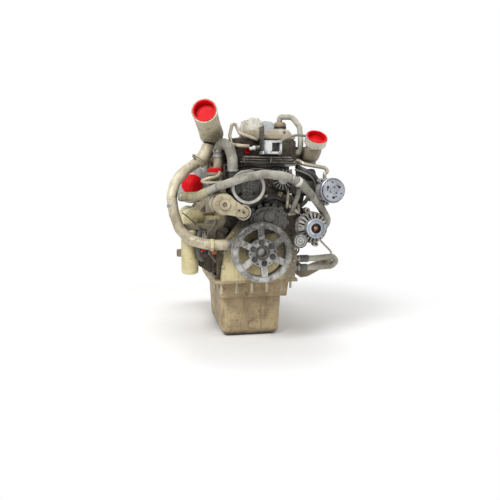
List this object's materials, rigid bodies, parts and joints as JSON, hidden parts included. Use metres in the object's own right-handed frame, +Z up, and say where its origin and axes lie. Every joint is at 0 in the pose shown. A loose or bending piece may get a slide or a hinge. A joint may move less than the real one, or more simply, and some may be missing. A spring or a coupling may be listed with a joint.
{
  "type": "in-line diesel engine",
  "caption": "Bare in-line truck diesel engine with crank damper, timing gears, pistons, turbocharger, accessory pulleys, hoses and oil pan.",
  "frame": {"origin": "on the crankshaft axis at the rear face of the flywheel housing", "axes": "+Y out of the rear face along the crankshaft, +Z up along the cylinders, +X towards the alternator side"},
  "size_m": [0.8631, 1.2434, 1.171],
  "materials": {
    "cylinder_block": "oily paint",
    "main_bearing_caps": "machined",
    "flywheel_housing": "dusty paint",
    "crank_seal": "matte",
    "cylinder_head": "oily paint",
    "head_gasket": "matte",
    "rocker_cover": "worn satin paint",
    "oil_pan": "worn satin paint",
    "casing_bolts": "dull",
    "gear_case": "dirty",
    "front_cover": "worn satin paint",
    "cover_casting": "oily",
    "water_pump": "oily",
    "fan_drive_housing": "oily",
    "tensioner_base": "cast",
    "alternator_body": "cast",
    "ac_compressor": "cast",
    "accessory_bracket": "oily",
    "engine_mounts": "dusty paint",
    "exhaust_manifold": "rusty",
    "turbo_compressor_housing": "cast",
    "turbo_turbine_housing": "rusty",
    "egr_cooler": "worn",
    "oil_filter": "satin",
    "oil_cooler_cover": "oily",
    "thermostat_housing": "dirty cast",
    "intake_manifold": "dirty cast",
    "intake_elbow": "worn",
    "outlet_pipe": "worn",
    "coolant_pipe": "worn",
    "water_hoses": "dusty",
    "breather_hoses": "matte",
    "oil_separator": "matte",
    "service_lines": "worn",
    "return_hoses": "dusty",
    "head_bracket": "cast",
    "port_plugs": "smooth",
    "hose_clamps": "worn",
    "crankshaft": "ground",
    "crank_gear": "worn",
    "crank_hub": "worn",
    "crank_damper": "worn",
    "crank_bolts": "oily",
    "flywheel": "machined",
    "camshaft": "ground",
    "cam_gear": "worn",
    "idler_gear": "worn",
    "oil_pump_gear": "worn",
    "pistons_outer": "cast",
    "pistons_middle": "cast",
    "pistons_inner": "cast",
    "water_pump_pulley": "worn",
    "fan_hub": "oily",
    "tensioner_arm": "cast",
    "tensioner_roller": "worn",
    "idler_roller": "polished",
    "alternator_pulley": "satin",
    "ac_pulley": "worn",
    "ac_clutch": "worn",
    "turbo_rotor": "worn"
  },
  "bodies": {
    "engine": {"cylinder_block": "cylinder_block", "main_bearing_caps": "main_bearing_caps", "flywheel_housing": "flywheel_housing", "crank_seal": "crank_seal", "cylinder_head": "cylinder_head", "head_gasket": "head_gasket", "rocker_cover": "rocker_cover", "oil_pan": "oil_pan", "casing_bolts": "casing_bolts", "gear_case": "gear_case", "front_cover": "front_cover", "cover_casting": "cover_casting", "water_pump": "water_pump", "fan_drive_housing": "fan_drive_housing", "tensioner_base": "tensioner_base", "alternator_body": "alternator_body", "ac_compressor": "ac_compressor", "accessory_bracket": "accessory_bracket", "engine_mounts": "engine_mounts", "exhaust_manifold": "exhaust_manifold", "turbo_compressor_housing": "turbo_compressor_housing", "turbo_turbine_housing": "turbo_turbine_housing", "egr_cooler": "egr_cooler", "oil_filter": "oil_filter", "oil_cooler_cover": "oil_cooler_cover", "thermostat_housing": "thermostat_housing", "intake_manifold": "intake_manifold", "intake_elbow": "intake_elbow", "outlet_pipe": "outlet_pipe", "coolant_pipe": "coolant_pipe", "water_hoses": "water_hoses", "breather_hoses": "breather_hoses", "oil_separator": "oil_separator", "service_lines": "service_lines", "return_hoses": "return_hoses", "head_bracket": "head_bracket", "port_plugs": "port_plugs", "hose_clamps": "hose_clamps"},
    "crank": {"crankshaft": "crankshaft", "crank_gear": "crank_gear", "crank_hub": "crank_hub", "crank_damper": "crank_damper", "crank_bolts": "crank_bolts", "flywheel": "flywheel"},
    "cam": {"camshaft": "camshaft", "cam_gear": "cam_gear"},
    "idler": {"idler_gear": "idler_gear"},
    "oil_pump_drive": {"oil_pump_gear": "oil_pump_gear"},
    "outer_pistons": {"pistons_outer": "pistons_outer"},
    "middle_pistons": {"pistons_middle": "pistons_middle"},
    "inner_pistons": {"pistons_inner": "pistons_inner"},
    "pump_wheel": {"water_pump_pulley": "water_pump_pulley"},
    "fan_spindle": {"fan_hub": "fan_hub"},
    "belt_arm": {"tensioner_arm": "tensioner_arm"},
    "belt_roller": {"tensioner_roller": "tensioner_roller"},
    "belt_idler": {"idler_roller": "idler_roller"},
    "alternator_rotor": {"alternator_pulley": "alternator_pulley"},
    "compressor_pulley": {"ac_pulley": "ac_pulley"},
    "compressor_shaft": {"ac_clutch": "ac_clutch"},
    "turbo_shaft": {"turbo_rotor": "turbo_rotor"}
  },
  "joints": [
    {"name": "crank_turn", "type": "hinge", "parent": "engine", "child": "crank", "pos_m": [0, -0.56, 0], "axis": [0, 1, 0], "continuous": true},
    {"name": "idler_turn", "type": "hinge", "parent": "engine", "child": "idler", "pos_m": [-0.01979, -1.035, 0.0878], "axis": [0, 1, 0], "continuous": true},
    {"name": "cam_turn", "type": "hinge", "parent": "engine", "child": "cam", "pos_m": [0.10003, -0.56, 0.15001], "axis": [0, 1, 0], "continuous": true},
    {"name": "oil_pump_turn", "type": "hinge", "parent": "engine", "child": "oil_pump_drive", "pos_m": [-0.04, -1.035, -0.06928], "axis": [0, 1, 0], "continuous": true},
    {"name": "outer_piston_slide", "type": "slide", "parent": "engine", "child": "outer_pistons", "axis": [0, 0, 1], "range_m": [-0.16, 0]},
    {"name": "middle_piston_slide", "type": "slide", "parent": "engine", "child": "middle_pistons", "axis": [0, 0, 1], "range_m": [-0.03075, 0.12925]},
    {"name": "inner_piston_slide", "type": "slide", "parent": "engine", "child": "inner_pistons", "axis": [0, 0, 1], "range_m": [-0.03075, 0.12925]},
    {"name": "pump_wheel_turn", "type": "hinge", "parent": "engine", "child": "pump_wheel", "pos_m": [-0.066, -1.16, 0.303], "axis": [0, 1, 0], "continuous": true},
    {"name": "fan_turn", "type": "hinge", "parent": "engine", "child": "fan_spindle", "pos_m": [0.108, -1.11, 0.337], "axis": [0, 1, 0], "continuous": true},
    {"name": "tensioner_swing", "type": "hinge", "parent": "engine", "child": "belt_arm", "pos_m": [-0.178, -1.15, 0.225], "axis": [0, 1, 0], "range_deg": [0, 28], "stiffness_Nm_per_rad": 20, "springref_deg": -20.05},
    {"name": "tensioner_roller_turn", "type": "hinge", "parent": "belt_arm", "child": "belt_roller", "pos_m": [-0.09, -1.175, 0.188], "axis": [0, 1, 0], "continuous": true},
    {"name": "idler_roller_turn", "type": "hinge", "parent": "engine", "child": "belt_idler", "pos_m": [0.182, -1.175, 0.051], "axis": [0, 1, 0], "continuous": true},
    {"name": "alternator_turn", "type": "hinge", "parent": "engine", "child": "alternator_rotor", "pos_m": [0.258, -1.15, 0.108], "axis": [0, 1, 0], "continuous": true},
    {"name": "compressor_pulley_turn", "type": "hinge", "parent": "engine", "child": "compressor_pulley", "pos_m": [0.346, -1.15, 0.285], "axis": [0, 1, 0], "continuous": true},
    {"name": "compressor_shaft_turn", "type": "hinge", "parent": "engine", "child": "compressor_shaft", "pos_m": [0.346, -1.15, 0.285], "axis": [0, 1, 0], "continuous": true},
    {"name": "turbo_turn", "type": "hinge", "parent": "engine", "child": "turbo_shaft", "pos_m": [-0.29, -0.69, 0.311], "axis": [0, 1, 0], "continuous": true}
  ],
  "couplings": [
    {"joint": "idler_turn", "follows": "crank_turn", "ratio": -1},
    {"joint": "cam_turn", "follows": "crank_turn", "ratio": 0.5},
    {"joint": "oil_pump_turn", "follows": "crank_turn", "ratio": -1.2857}
  ]
}
